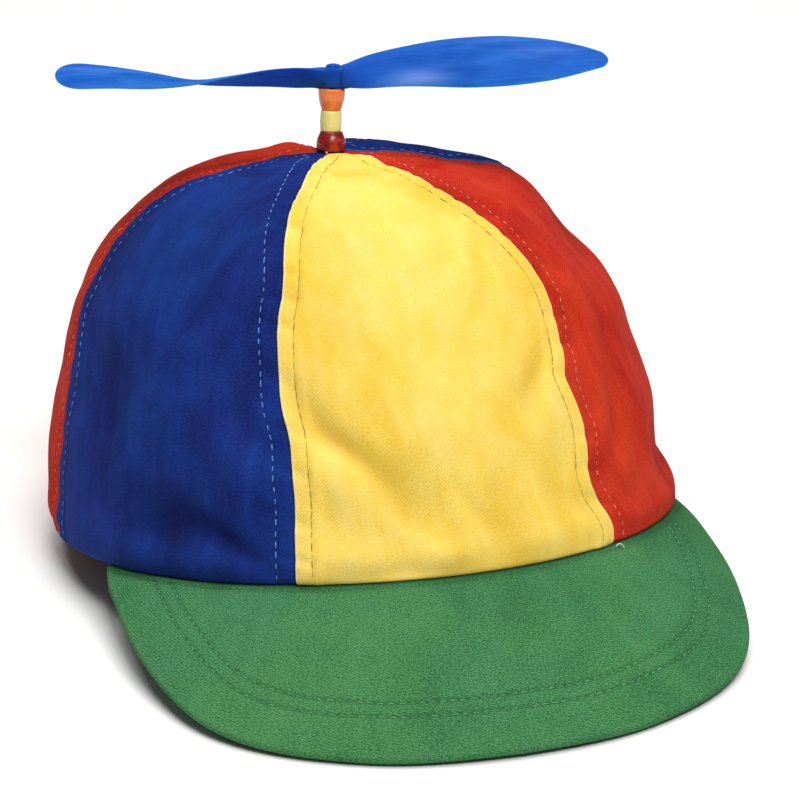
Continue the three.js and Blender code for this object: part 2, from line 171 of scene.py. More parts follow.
FINE_FOLDS = [
    (5, 0.680, 0.114, 0.18, 0.041, -10, -0.0170),
    (5, 0.805, 0.088, 0.19, 0.027, -28, -0.0220),
    (5, 0.775, 0.054, 0.14, 0.040, -28, 0.0120),
    (5, 0.873, 0.188, 0.15, 0.058, 0, 0.0140),
    (5, 0.865, 0.250, 0.15, 0.050, -37, -0.0150),
    (5, 0.940, 0.222, 0.14, 0.040, 0, -0.0150),
    (5, 0.485, 0.128, 0.22, 0.087, -1, -0.0117),
    (5, 0.600, 0.045, 0.40, 0.045, -8, 0.0070),
    (5, 0.635, 0.303, 0.12, 0.058, -47, -0.0060),
    (5, 0.350, 0.250, 0.16, 0.060, 30, -0.0070),
    (5, 0.818, 0.480, 0.33, 0.087, -81, 0.0087),
    (5, 0.690, 0.456, 0.32, 0.087, -79, -0.0060),
    (5, 0.310, 0.136, 0.14, 0.058, -65, -0.0068),
    (5, 0.922, 0.130, 0.12, 0.039, -5, -0.0090),
    (0, 0.085, 0.268, 0.15, 0.043, -46, -0.0200),
    (0, 0.203, 0.209, 0.18, 0.027, -36, -0.0200),
    (0, 0.130, 0.230, 0.13, 0.022, -24, -0.0130),
    (0, 0.330, 0.152, 0.20, 0.046, -26, -0.0160),
    (0, 0.113, 0.180, 0.13, 0.050, -32, 0.0140),
    (0, 0.305, 0.232, 0.22, 0.070, -42, 0.0110),
    (0, 0.100, 0.123, 0.08, 0.044, -9, -0.0090),
    (0, 0.853, 0.273, 0.17, 0.037, 34, -0.0160),
    (0, 0.893, 0.237, 0.12, 0.039, 39, 0.0070),
    (0, 0.652, 0.144, 0.16, 0.080, -27, -0.0097),
    (0, 0.522, 0.133, 0.15, 0.024, -54, -0.0080),
    (0, 0.900, 0.109, 0.12, 0.039, -36, -0.0100),
    (0, 0.345, 0.118, 0.12, 0.030, -38, -0.0078),
    (0, 0.588, 0.185, 0.24, 0.090, 2, 0.0049),
    (0, 0.522, 0.393, 0.20, 0.110, -25, -0.0039),
    (1, 0.065, 0.324, 0.09, 0.029, -8, -0.0170),
    (1, 0.060, 0.229, 0.09, 0.033, -3, -0.0140),
    (1, 0.058, 0.148, 0.09, 0.045, -4, -0.0140),
    (1, 0.175, 0.204, 0.22, 0.031, 66, -0.0120),
    (1, 0.117, 0.227, 0.15, 0.033, 72, 0.0090),
    (1, 0.330, 0.170, 0.26, 0.040, 84, 0.0090),
    (1, 0.450, 0.120, 0.20, 0.034, 88, -0.0060),
    (1, 0.300, 0.310, 0.16, 0.045, 75, -0.0090),
    (1, 0.138, 0.088, 0.12, 0.036, -41, -0.0070),
    (1, 0.603, 0.436, 0.21, 0.058, 20, -0.0078),
    (2, 0.35, 0.14, 0.26, 0.034, -30, -0.011),
    (2, 0.75, 0.30, 0.22, 0.034, 40, -0.010),
    (2, 0.20, 0.24, 0.16, 0.040, 20, -0.009),
    (3, 0.30, 0.12, 0.26, 0.034, 24, -0.011),
    (3, 0.72, 0.14, 0.24, 0.034, -28, -0.011),
    (3, 0.50, 0.42, 0.24, 0.045, 8, 0.009),
    (4, 0.35, 0.13, 0.24, 0.034, 30, -0.010),
    (4, 0.70, 0.32, 0.22, 0.034, -44, -0.009),
    (4, 0.20, 0.22, 0.18, 0.040, -16, -0.010),
]
FOLDS = [dict(zip(FOLD_COLUMNS, row)) for row in BROAD_FOLDS + FINE_FOLDS]
FOLD_FADE = 0.09
FINE_FADE = 0.03

BRIM_OUTLINE = [(0, 1), (0.25, 0.978), (0.5, 0.821), (0.7, 0.478),
                (0.85, 0.215), (0.95, 0.077), (1, 0)]

# Blade sections: shares of the length and chord, pitch in degrees, rise as a share of the length
FIRST_BLADE = [
    (0.03, 0.36, 36, -0.003), (0.08, 0.49, 36, 0.008), (0.20, 0.71, 33, 0.032),
    (0.35, 0.85, 32.5, 0.053), (0.50, 0.95, 31.5, 0.065), (0.65, 1.00, 29.5, 0.075),
    (0.80, 0.80, 29.5, 0.083), (0.92, 0.47, 29.5, 0.087), (1.00, 0.20, 31, 0.087),
]
ROOT_SWELL = 2.7  # how much each face of a blade swells where it joins the hub
TIP_ROUND = [0.025, 0.10]  # share of its length over which each blade's tip rounds off
SECOND_BLADE = [
    (0.03, 0.35, 36, -0.013), (0.08, 0.47, 33, -0.012), (0.20, 0.69, 23, -0.015), (0.35, 0.80, 13.5, -0.030),
    (0.50, 0.92, 6, -0.045), (0.65, 1.00, -4, -0.039), (0.80, 1.00, -10, -0.031),
    (0.92, 0.94, -13.5, -0.029), (1.00, 0.86, -16, -0.028),
]
# Painted highlights: paler, hazy patches of painted gloss on one face of the first and the second blade:
# middle along the blade and across it, half length, half width and strength
PAINTED_GLOSS_PATCHES = [
    [(24, -7.5, 8, 3.0, 0.75), (62, 3.0, 9, 2.5, 0.35), (44, 9.0, 12, 1.5, 0.25)],
    [(70, -3.0, 9, 3.0, 0.12), (22, -5.0, 7, 2.0, 0.30)],
]

# Sewing
TUCK = 2.0  # how far a panel runs on under the one lapped over it
TUCK_END = (0.68, 0.76)  # lifts over which the tuck ends, short of the bunched cloth at the top
LAP_RISE = 0.45
STITCH = {  # length, pitch and thread radius of a row
    "blue": (2.1, 2.95, 0.2),
    "yellow": (3.6, 2.75, 0.17),
    "red": (1.8, 2.7, 0.19),
    "green": (2.0, 2.7, 0.19),
}
SEAM_ROWS = {"blue": 5.6, "yellow": 4.7, "red": 5.2}  # from the seam to the stitch row
ALLOWANCE = 7.5  # width of the seam allowance that shows through the cloth
HEM_RISE = 0.85  # how far the hem's band stands out
HEM_MIDDLE = 8.0  # and the height of its middle
RIM_CLOTH = 1.4  # thickness of the cloth at the rim
RIM_ROLL = 3.0  # height over which the cloth turns in at the rim
SEWN_RISE = 0.6  # the brim's sewn edge comes up this much under the rim and closes the joint
LAP_ROUND = 0.55  # rounding of the edge that lies on top
ROW_GROOVE = 0.34  # how deep a stitch row is drawn in
PUCKER_PITCH = 9.4
YELLOW_PUCKER = 0.62  # depth of the tucks that the thread pulls into a yellow seam
FLAT_PUCKER = 0.3  # and into a seam of red and blue
BRIM_ROWS = (12.6, 16.9)  # the brim's stitch rows, in from its edge

# Finish colours
COLOURS = {  # body, shade (also used for the painted shade in creases), faded, the two hues it drifts to, and worn edges with a painted highlight
    "blue": ("#152566", "#0e0f3c", "#2147a3", "#221f6c", "#173f88", "#41689c"),
    "yellow": ("#fad244", "#d6a41a", "#ffea9c", "#f8cd32", "#fee578", "#fff3c8"),
    "red": ("#bb2013", "#7c110d", "#e04e33", "#d23c1b", "#a81c20", "#ee8468"),
    "green": ("#347040", "#1c4a2a", "#62a06b", "#437b3a", "#2f6f50", "#7ab886"),
}
THREADS = {"blue": "#4f7fb8", "yellow": "#9a9230", "red": "#d2694e", "green": "#418c52", "loose": "#f2efe4"}


# Placement

joint = frame["record"]["behaviour"]["joints"][0]
pin_way = np.array(joint["axis"])
hub_middle = np.array(joint["pos_m"]) / MM
TILT = math.atan2(pin_way[1], pin_way[2])
LEAN = math.asin(pin_way[0])
turn_back = np.array(Matrix.Rotation(-TILT, 3, "X"))
pin_turn = np.array(Matrix.Rotation(LEAN, 3, "Y"))


def profile(lift):
    """Radius and height of the crown's profile as shares, for lift from 0 at the rim to 1."""
    radius = np.cos(lift * math.pi / 2)
    height = np.maximum(1 - radius**SIDE_POWER, 0) ** (1 / TOP_POWER)
    return radius, height


def crown_point(angle, lift):
    """A point of the smooth crown; angle goes round from the front towards +X."""
    angle, lift = np.broadcast_arrays(angle, lift)
    radius, height = profile(lift)
    stand = (SWELL - FRONT_SLANT * np.cos(angle)) * 4 * height * (1 - height)
    return np.stack([
        HEAD_WIDTH / 2 * np.sin(angle) * (radius + stand) + TOP_SIDE * height,
        -HEAD_DEPTH / 2 * np.cos(angle) * (radius + stand) + TOP_BACK * height,
        CROWN_HEIGHT * height + RIM_SADDLE * np.cos(2 * angle) * (1 - height),
    ], -1)


def unit(vectors):
    return vectors / np.linalg.norm(vectors, axis=-1, keepdims=True)


def crown_out(angle, lift):
    """The way out of the smooth crown, level at the rim."""
    step = 0.01
    around = crown_point(angle + step, lift) - crown_point(angle - step, lift)
    low = np.maximum(lift - step, 0)
    upward = crown_point(angle, low + 2 * step) - crown_point(angle, low)
    out = unit(np.cross(around, upward))
    out[..., 2] *= np.clip(np.broadcast_to(lift, out.shape[:-1]) / 0.05, 0, 1)
    return unit(out)


crown_top = crown_point(0.0, 1.0)
shift = hub_middle - (HUB_FOOT + HUB_HEIGHT / 2) * pin_way - turn_back @ crown_top


def place(points):
    """Points of the cap's own frame, in the row's frame and in metres, none below the floor."""
    placed = np.asarray(points, float) @ turn_back.T + shift
    placed[..., 2] = np.maximum(placed[..., 2], 0)
    return placed * MM


def place_on_pin(points):
    """Points about the pin, whose foot is the top of the crown, in the row's frame."""
    return (np.asarray(points, float) @ (turn_back @ pin_turn).T + turn_back @ crown_top + shift) * MM


# Small numeric helpers

def smooth(value, low, high):
    t = np.clip((value - low) / (high - low), 0, 1)
    return t * t * (3 - 2 * t)


def spline(places, values, at):
    """A smooth curve through a short table: cubic pieces whose slopes come from their neighbours."""
    places, values = np.asarray(places, float), np.asarray(values, float)
    slopes = np.gradient(values, places)
    at = np.clip(at, places[0], places[-1])
    k = np.clip(np.searchsorted(places, at, side="right") - 1, 0, len(places) - 2)
    width = places[k + 1] - places[k]
    t = (at - places[k]) / width
    return ((2 * t**3 - 3 * t**2 + 1) * values[k] + (t**3 - 2 * t**2 + t) * width * slopes[k]
            + (3 * t**2 - 2 * t**3) * values[k + 1] + (t**3 - t**2) * width * slopes[k + 1])


def ripple(x, y, length, seed, stretch=1.0):
    """Seeded soft unevenness of about unit size: waves of about the given length in all ways."""
    rng = np.random.default_rng(seed)
    total = 0
    waves = 16
    for _ in range(waves):
        way = rng.uniform(0, 2 * math.pi)
        wave = length * rng.uniform(0.7, 1.6)
        phase = rng.uniform(0, 2 * math.pi)
        along = x * math.cos(way) + y * stretch * math.sin(way)
        total = total + np.sin(along * 2 * math.pi / wave + phase)
    return total / math.sqrt(waves / 2)


def ripple_at(points, length, seed):
    """The same unevenness through space, so that it runs on from one panel to the next."""
    rng = np.random.default_rng(seed)
    total = 0
    waves = 22
    for _ in range(waves):
        way = rng.normal(size=3)
        wave = length * rng.uniform(0.7, 1.6)
        phase = rng.uniform(0, 2 * math.pi)
        total = total + np.sin(points @ (way / np.linalg.norm(way)) * 2 * math.pi / wave + phase)
    return total / math.sqrt(waves / 2)


# Crown surface

def seam_angle(seam, lift):
    even = (seam + 0.5) * PANEL_ANGLE + SEAM_TURN
    sway = 0
    for bent, middle, spread, amount in SEAM_BENDS:
        if bent == seam % 6:
            sway = sway + amount * np.exp(-(((lift - middle) / spread) ** 2))
    return even + sway * HEAD_WIDTH / (profile(lift)[0] * HEAD_WIDTH / 2 + TOP_HOLE)


def panel_width(panel, lift):
    ring = profile(lift)[0] * HEAD_WIDTH / 2
    return (seam_angle(panel, lift) - seam_angle(panel - 1, lift)) * ring


def folds_of(panel, across, lift, width):
    total = 0
    for row in FOLDS:
        if row["panel"] != panel:
            continue
        x = (across - row["across"]) * width
        y = (lift - row["lift"]) * PROFILE_LENGTH
        tilt = math.radians(row["tilt"])
        along = (x * math.cos(tilt) + y * math.sin(tilt)) / (row["length"] * CROWN_HEIGHT)
        beside = (y * math.cos(tilt) - x * math.sin(tilt)) / (row["width"] * CROWN_HEIGHT)
        fade = FOLD_FADE if row["width"] > 0.05 else FINE_FADE
        bump = row["depth"] * CROWN_HEIGHT * np.exp(-(along**2) * 4 - beside**2)
        total = total + bump * np.minimum(lift / fade, 1)
    return total


def joined_folds(panel, across, lift, width):
    """The folds of a panel, drawn to those of its neighbours where they are sewn together."""
    total = folds_of(panel, across, lift, width)
    for side, distance in ((0, across * width), (1, (1 - across) * width)):
        neighbour = (panel + (1 if side else -1)) % 6
        own = folds_of(panel, float(side), lift, width)
        other = folds_of(neighbour, float(1 - side), lift, panel_width(neighbour, lift))
        total = total + (other - own) / 2 * (1 - smooth(distance, 0, np.minimum(14, 0.4 * width)))
    return total


def is_lapped_over(panel, seam_side):
    """Whether this panel lies over its neighbour at its first (0) or second (1) seam."""
    neighbour = PANEL_COLOURS[(panel + (1 if seam_side else -1)) % 6]
    order = {"yellow": 2, "blue": 1, "red": 0}
    return order[PANEL_COLOURS[panel]] > order[neighbour]


def seam_relief(panel, side, distance, rise):
    """How far the cloth stands out beside a seam: lap, allowance, stitch row and puckers."""
    over = is_lapped_over(panel, side)
    row = SEAM_ROWS[PANEL_COLOURS[panel]]
    seam = (panel - 1 + side) % 6
    if over:
        from_edge = (1 - distance / LAP_ROUND).clip(0, 1)
        lift_off = LAP_RISE - LAP_ROUND * (1 - np.sqrt(np.clip(1 - from_edge**2, 0, 1)))
    else:
        lift_off = 0.15 - 0.95 * (1 - smooth(distance, 0.0, 1.1))
    band = 1 - smooth(distance, ALLOWANCE - 1.2, ALLOWANCE + 1.0)
    groove = -ROW_GROOVE * np.exp(-(((distance - row) / 0.6) ** 2))
    window = np.exp(-(((distance - row * 0.8) / 4.5) ** 2))
    signed = distance * (1 - 2 * side)
    wander = 2.2 * ripple(rise, rise * 0, 34, 60 + seam) + 0.25 * signed
    pull = np.clip(np.sin((rise + wander) * 2 * math.pi / PUCKER_PITCH + seam * 1.7), 0, 1) ** 2
    puckers = 0.12 * window * ripple(signed * 0.35 + rise, signed * 0.2, 8.5, 40 + seam)
    colours = (PANEL_COLOURS[seam], PANEL_COLOURS[(seam + 1) % 6])
    pucker = YELLOW_PUCKER if "yellow" in colours else FLAT_PUCKER
    puckers = puckers - pucker * pull * np.exp(-(((distance - row * 0.45) / (row * 0.62)) ** 2))
    return lift_off * band + groove + puckers


def seams_relief(panel, across, lift):
    width = panel_width(panel, lift)
    rise = lift * PROFILE_LENGTH
    return (seam_relief(panel, 0, across * width, rise)
            + seam_relief(panel, 1, (1 - across) * width, rise))


def cloth_relief(panel, across, lift):
    """Everything that a panel's cloth does on top of the smooth crown, in millimetres."""
    radius, _ = profile(lift)
    width = panel_width(panel, lift)
    rise = lift * PROFILE_LENGTH
    first = across * width
    sink = -SEAM_SINK * (2 * across - 1) ** 2 * radius * np.minimum(lift / FOLD_FADE, 1)
    seams = seams_relief(panel, across, lift)
    fade_top = smooth(1 - lift, 0.02, 0.12)
    angle = seam_angle(panel - 1, lift) + first / (radius * HEAD_WIDTH / 2)
    smooth_place = crown_point(angle, lift)
    soft = 0.34 * ripple_at(smooth_place, 36, 7) + 0.12 * ripple_at(smooth_place, 14, 8)
    hem = HEM_RISE * np.exp(-(((rise - HEM_MIDDLE) / 4.6) ** 2)) * (1 + 0.4 * ripple_at(smooth_place, 24, 9))
    turned_in = (1 - rise / RIM_ROLL).clip(0, 1)
    rim_round = -(0.7 + 1.4 * np.maximum(np.cos(angle), 0)) * (1 - np.sqrt(1 - turned_in**2))
    inside_rim = smooth(lift, 0, 0.03)
    return (sink + joined_folds(panel, across, lift, width) + seams * (0.35 + 0.65 * fade_top)
            + soft * fade_top * inside_rim + hem + rim_round)


def panel_surface(panel, across, lift, depth=0.0):
    """Points of a panel's cloth; across runs from its first seam to its second."""
    ring = profile(lift)[0] * HEAD_WIDTH / 2
    width = panel_width(panel, lift)
    tucks = [0.0 if is_lapped_over(panel, side) else TUCK for side in (0, 1)]
    below = 1 - smooth(lift, *TUCK_END)
    along = across * width + (tucks[1] * across**40 - tucks[0] * (1 - across) ** 40) * below
    angle = seam_angle(panel - 1, lift) + along / ring
    share = along / width
    relief = cloth_relief(panel, share, lift)
    out = crown_out(angle, lift)
    return crown_point(angle, lift) + out * (relief - depth)[..., None]


# Brim surface

def rim_out(angle):
    step = 0.01
    around = crown_point(angle + step, 0.0) - crown_point(angle - step, 0.0)
    out = np.cross(around, [0.0, 0.0, 1.0])
    return unit(out)


def brim_reach(turn):
    places, values = zip(*BRIM_OUTLINE)
    return BRIM_REACH * np.maximum(spline(places, values, np.abs(turn)), 0)


def brim_surface(turn, across, depth=0.0):
    """Points of the brim; across is -1 at its hidden inner edge, 0 at the wall, 1 at the edge."""
    turn, across = np.broadcast_arrays(np.asarray(turn, float), np.asarray(across, float))
    angle = turn * BRIM_HALF_ANGLE
    reach = np.maximum(across, 0) * brim_reach(turn)
    slope = BRIM_SLOPE - BRIM_SLOPE_LOSS * turn**2
    point = crown_point(angle, 0.0)
    point = point + rim_out(angle) * (reach * np.cos(slope) + np.minimum(across, 0) * CLOTH)[..., None]
    inner = np.clip(across, 0, 1)
    arch = BRIM_ARCH * 4 * inner * (1 - inner) * (1 - turn**2)
    point[..., 2] += arch - reach * np.sin(slope) - GAP - depth
    return point


# Meshes

def link(obj):
    bpy.context.scene.collection.objects.link(obj)
    return obj


def mesh_object(name, vertices, faces, material, uv=None, attributes=None):
    """An object from vertices in metres and faces as rows of vertex numbers, all smooth."""
    mesh = bpy.data.meshes.new(name)
    vertices = np.asarray(vertices, np.float32).reshape(-1, 3)
    mesh.vertices.add(len(vertices))
    mesh.vertices.foreach_set("co", vertices.ravel())
    sizes = np.array([len(f) for f in faces], np.int32)
    loops = np.concatenate([np.asarray(f, np.int32) for f in faces])
    mesh.loops.add(len(loops))
    mesh.loops.foreach_set("vertex_index", loops)
    mesh.polygons.add(len(sizes))
    mesh.polygons.foreach_set("loop_start", np.concatenate([[0], np.cumsum(sizes)[:-1]]).astype(np.int32))
    mesh.update(calc_edges=True)
    mesh.validate()
    mesh.polygons.foreach_set("use_smooth", np.ones(len(mesh.polygons), bool))
    if uv is not None:
        layer = mesh.uv_layers.new(name="cloth")
        layer.uv.foreach_set("vector", np.asarray(uv, np.float32)[loops].ravel())
    for key, values in (attributes or {}).items():
        layer = mesh.attributes.new(key, "FLOAT", "POINT")
        layer.data.foreach_set("value", np.asarray(values, np.float32).ravel())
    mesh.materials.append(material)
    return link(bpy.data.objects.new(name, mesh))


def grid_faces(columns, rows, start=0, flip=False):
    """Quads of a grid of columns by rows cells, its points row by row."""
    i, j = np.meshgrid(np.arange(columns), np.arange(rows))
    a = start + j * (columns + 1) + i
    quads = np.stack([a, a + 1, a + columns + 2, a + columns + 1], -1).reshape(-1, 4)
    return quads[:, ::-1] if flip else quads


def edge_faces(columns, rows, layer):
    """Quads that close the four edges between an outer grid and the inner one after it."""
    at = lambda i, j: j * (columns + 1) + i
    pairs = [(at(i, 0), at(i + 1, 0)) for i in range(columns)]
    pairs += [(at(i + 1, rows), at(i, rows)) for i in range(columns)]
    pairs += [(at(columns, j), at(columns, j + 1)) for j in range(rows)]
    pairs += [(at(0, j + 1), at(0, j)) for j in range(rows)]
    return np.array([(a, a + layer, b + layer, b) for a, b in pairs])


def ring_faces(around, rings, start=0, closed_ends=True):
    """Quads of stacked closed rings of points, with a face over each end."""
    faces = []
    for k in range(rings - 1):
        low = start + k * around
        for i in range(around):
            j = (i + 1) % around
            faces.append((low + i, low + j, low + around + j, low + around + i))
    if closed_ends:
        faces.append(tuple(start + i for i in reversed(range(around))))
        faces.append(tuple(start + (rings - 1) * around + i for i in range(around)))
    return faces


# Materials

def srgb(code):
    values = [int(code[i:i + 2], 16) / 255 for i in (1, 3, 5)]
    return [v / 12.92 if v <= 0.04045 else ((v + 0.055) / 1.055) ** 2.4 for v in values] + [1.0]


class Nodes:
    """A short way to write a material's nodes and links."""

    def __init__(self, name):
        self.material = bpy.data.materials.new(name)
        self.material.use_nodes = True
        self.tree = self.material.node_tree
        self.tree.nodes.clear()
        self.shader = self.add("ShaderNodeBsdfPrincipled")
        output = self.add("ShaderNodeOutputMaterial")
        self.link(self.shader.outputs[0], output.inputs["Surface"])

    def add(self, kind, **settings):
        node = self.tree.nodes.new(kind)
        for key, value in settings.items():
            setattr(node, key, value)
        return node

    def link(self, source, target):
        if isinstance(source, bpy.types.NodeSocket):
            self.tree.links.new(source, target)
        else:
            target.default_value = source

    def math(self, operation, first, second=0.0, clamp=False):
        node = self.add("ShaderNodeMath", operation=operation, use_clamp=clamp)
        self.link(first, node.inputs[0])
        self.link(second, node.inputs[1])
        return node.outputs[0]

    def mapped(self, vector, scale=(1, 1, 1), turn=0.0):
        node = self.add("ShaderNodeMapping")
        self.link(vector, node.inputs["Vector"])
        node.inputs["Scale"].default_value = scale
        node.inputs["Rotation"].default_value = (0, 0, math.radians(turn))
        return node.outputs[0]

    def noise(self, vector, scale, detail=2.0, roughness=0.5, distortion=0.0):
        node = self.add("ShaderNodeTexNoise")
        self.link(vector, node.inputs["Vector"])
        node.inputs["Scale"].default_value = scale
        node.inputs["Detail"].default_value = detail
        node.inputs["Roughness"].default_value = roughness
        node.inputs["Distortion"].default_value = distortion
        return node.outputs["Fac"]

    def waves(self, vector, period, distortion=0.0, detail=1.0, detail_scale=1.0):
        node = self.add("ShaderNodeTexWave", wave_type="BANDS", bands_direction="X")
        self.link(vector, node.inputs["Vector"])
        node.inputs["Scale"].default_value = 2 * math.pi / (20 * period)
        node.inputs["Distortion"].default_value = distortion
        node.inputs["Detail"].default_value = detail
        node.inputs["Detail Scale"].default_value = detail_scale
        return node.outputs["Fac"]

    def remap(self, value, low, high, to_low=0.0, to_high=1.0):
        node = self.add("ShaderNodeMapRange")
        self.link(value, node.inputs["Value"])
        for key, number in zip(("From Min", "From Max", "To Min", "To Max"), (low, high, to_low, to_high)):
            node.inputs[key].default_value = number
        return node.outputs[0]

    def mix(self, factor, first, second, blend="MIX"):
        node = self.add("ShaderNodeMix", data_type="RGBA", blend_type=blend)
        self.link(factor, node.inputs[0])
        self.link(first, node.inputs[6])
        self.link(second, node.inputs[7])
        return node.outputs[2]

    def attribute(self, name):
        return self.add("ShaderNodeAttribute", attribute_name=name).outputs["Fac"]

    def bump(self, height, distance, strength=1.0, normal=None):
        node = self.add("ShaderNodeBump")
        self.link(height, node.inputs["Height"])
        node.inputs["Distance"].default_value = distance
        node.inputs["Strength"].default_value = strength
        if normal is not None:
            self.link(normal, node.inputs["Normal"])
        return node.outputs[0]

    def finish(self, **values):
        for key, value in values.items():
            self.link(value, self.shader.inputs[key.replace("_", " ").title().replace("Ior", "IOR")])
        return self.material


def twill(name, colours, pitch=0.6, faded=0.45, grain=0.2, speckle=0.16):
    """Cotton twill: diagonal ribs, uneven yarns, soft fading, painted shade in creases and seam hollows, and
    worn edges with a painted highlight.
    """
    base, shade, light, warm, cool, worn_and_highlit = (srgb(code) for code in colours)
    n = Nodes(name)
    uv = n.add("ShaderNodeUVMap", uv_map="cloth").outputs[0]
    ribs = n.waves(n.mapped(uv, turn=62), pitch, distortion=2.2, detail=2.0, detail_scale=1.8)
    warp = n.noise(n.mapped(uv, (3.4, 0.6, 1)), 1.0, 2.0, 0.6)
    weft = n.noise(n.mapped(uv, (0.7, 3.6, 1)), 1.0, 2.0, 0.6)
    yarn = n.math("ADD", n.math("MULTIPLY", warp, 0.5), n.math("MULTIPLY", weft, 0.5))
    fuzz = n.noise(uv, 2.1, 2.0, 0.8)
    clouds = n.noise(n.mapped(uv, (0.030, 0.020, 1)), 1.0, 3.0, 0.6, 0.6)
    patches = n.noise(n.mapped(uv, (0.13, 0.10, 1)), 1.0, 4.0, 0.62, 0.5)
    streaks = n.noise(n.mapped(uv, (0.35, 0.012, 1), turn=4), 1.0, 2.0, 0.6)
    hue = n.noise(n.mapped(uv, (0.022, 0.026, 1), turn=30), 1.0, 2.0, 0.5, 0.8)
    colour = n.mix(n.remap(hue, 0.5, 0.68, 0.0, 0.5), base, warm)
    colour = n.mix(n.remap(hue, 0.5, 0.32, 0.0, 0.5), colour, cool)
    mixed = n.math("ADD", n.math("MULTIPLY", clouds, 0.45), n.math("MULTIPLY", patches, 0.35))
    fading = n.remap(n.math("ADD", mixed, n.math("MULTIPLY", streaks, 0.2)), 0.42, 0.62)
    colour = n.mix(n.math("MULTIPLY", fading, faded), colour, light)
    colour = n.mix(n.remap(clouds, 0.5, 0.34, 0.0, 0.4), colour, shade)
    colour = n.mix(n.math("MULTIPLY", n.remap(yarn, 0.44, 0.6), grain), colour, light)
    colour = n.mix(n.math("MULTIPLY", n.remap(ribs, 0.4, 0.0), grain), colour, shade)
    colour = n.mix(n.math("MULTIPLY", n.remap(fuzz, 0.52, 0.66), speckle * 1.3), colour, light)
    colour = n.mix(n.math("MULTIPLY", n.remap(fuzz, 0.48, 0.34), speckle * 2.2), colour, shade)
    # Painted shade: the cloth is darkened towards the shade colour in fold valleys, seam crevices and stitch
    # grooves
    crease_shade = n.remap(n.attribute("crease_shade"), -0.6, -3.4, 0.0, 0.5)
    colour = n.mix(crease_shade, colour, shade)
    # Worn edges with a painted highlight: a pale line along the lapped edges, partly wear and partly painted
    # light
    edge = n.remap(n.attribute("edge"), 0.9, 0.25, 0.0, 0.75)
    colour = n.mix(n.math("MULTIPLY", edge, n.remap(fuzz, 0.35, 0.6, 0.5, 1.0)), colour, worn_and_highlit)
    height = n.math("ADD", n.math("MULTIPLY", ribs, 0.3), yarn)
    normal = n.bump(n.math("ADD", height, n.math("MULTIPLY", fuzz, 0.8)), 0.00015, 0.7)
    normal = n.bump(patches, 0.0006, 0.4, normal)
    rough = n.remap(yarn, 0.3, 0.7, 0.8, 0.93)
    return n.finish(base_color=colour, roughness=rough, normal=normal,
                    sheen_weight=0.01, sheen_roughness=0.5, specular_ior_level=0.05)


def thread(name, colour):
    n = Nodes(name)
    place_of = n.add("ShaderNodeTexCoord").outputs["Object"]
    tone = n.noise(n.mapped(place_of, (420, 420, 420)), 1.0, 3.0, 0.7)
    light = [min(c * 1.5 + 0.03, 1) for c in srgb(colour)[:3]] + [1]
    dark = [c * 0.62 for c in srgb(colour)[:3]] + [1]
    return n.finish(base_color=n.mix(n.remap(tone, 0.3, 0.7), dark, light), roughness=0.62,
                    normal=n.bump(tone, 0.00008, 0.6), sheen_weight=0.05)


def bead_plastic(name, colour, deep, clear, rough):
    n = Nodes(name)
    place_of = n.add("ShaderNodeTexCoord").outputs["Object"]
    swirl = n.noise(n.mapped(place_of, (260, 260, 420)), 1.0, 3.0, 0.6, 0.8)
    scuffs = n.noise(n.mapped(place_of, (900, 900, 1500)), 1.0, 4.0, 0.65)
    colour_out = n.mix(n.remap(swirl, 0.34, 0.68), srgb(deep), srgb(colour))
    return n.finish(base_color=colour_out, roughness=n.remap(scuffs, 0.35, 0.7, rough, rough + 0.16),
                    normal=n.bump(swirl, 0.00012, 0.4), subsurface_weight=clear,
                    subsurface_radius=(0.004, 0.002, 0.0015), subsurface_scale=0.3,
                    coat_weight=0.25, coat_roughness=0.15)


def sheet_plastic(name):
    """Satin moulded blue plastic: flow streaks, pale patches of painted highlight, and a finely uneven face.
    """
    n = Nodes(name)
    blade = n.add("ShaderNodeUVMap", uv_map="cloth").outputs[0]
    clouds = n.noise(n.mapped(blade, (0.045, 0.14, 1)), 1.0, 3.0, 0.55, 0.7)
    streaks = n.noise(n.mapped(blade, (0.03, 0.9, 1), turn=6), 1.0, 3.0, 0.6)
    fine = n.noise(blade, 1.3, 4.0, 0.65)
    colour = n.mix(n.remap(clouds, 0.32, 0.7), srgb("#174a9a"), srgb("#2963b2"))
    colour = n.mix(n.math("MULTIPLY", n.remap(streaks, 0.5, 0.75), 0.2), colour, srgb("#2f78cf"))
    colour = n.mix(n.remap(n.attribute("edge"), 26.0, 6.0, 0.0, 0.6), colour, srgb("#1c46aa"))
    # Painted highlight: the gloss patches are mixed towards a whitish blue
    painted_gloss = n.math("MULTIPLY", n.attribute("painted_gloss"), n.remap(clouds, 0.3, 0.6, 0.6, 1.0))
    colour = n.mix(painted_gloss, colour, srgb("#6f8fd4"))
    normal = n.bump(clouds, 0.0012, 0.35)
    normal = n.bump(fine, 0.00014, 0.35, normal)
    return n.finish(base_color=colour, roughness=n.remap(fine, 0.3, 0.7, 0.42, 0.56), normal=normal,
                    specular_ior_level=0.0, subsurface_weight=0.7, subsurface_scale=1.0,
                    subsurface_radius=(0.0008, 0.0028, 0.006))


MATERIALS = {key: twill(f"{key}_twill", value) for key, value in COLOURS.items() if key != "green"}
MATERIALS["green"] = twill("green_twill", COLOURS["green"], pitch=0.75, faded=0.25, grain=0.42, speckle=0.4)
THREAD_MATERIALS = {key: thread(f"{key}_thread", value) for key, value in THREADS.items()}
BEAD_MATERIALS = {
    "bead_red": bead_plastic("red_bead", "#c8301c", "#7c1410", 0.2, 0.22),
    "bead_yellow": bead_plastic("yellow_bead", "#fff7a4", "#fff08c", 0.4, 0.3),
    "bead_orange": bead_plastic("orange_bead", "#ff9a4a", "#ff7230", 0.4, 0.22),
}
BLUE_PLASTIC = sheet_plastic("blue_sheet_plastic")


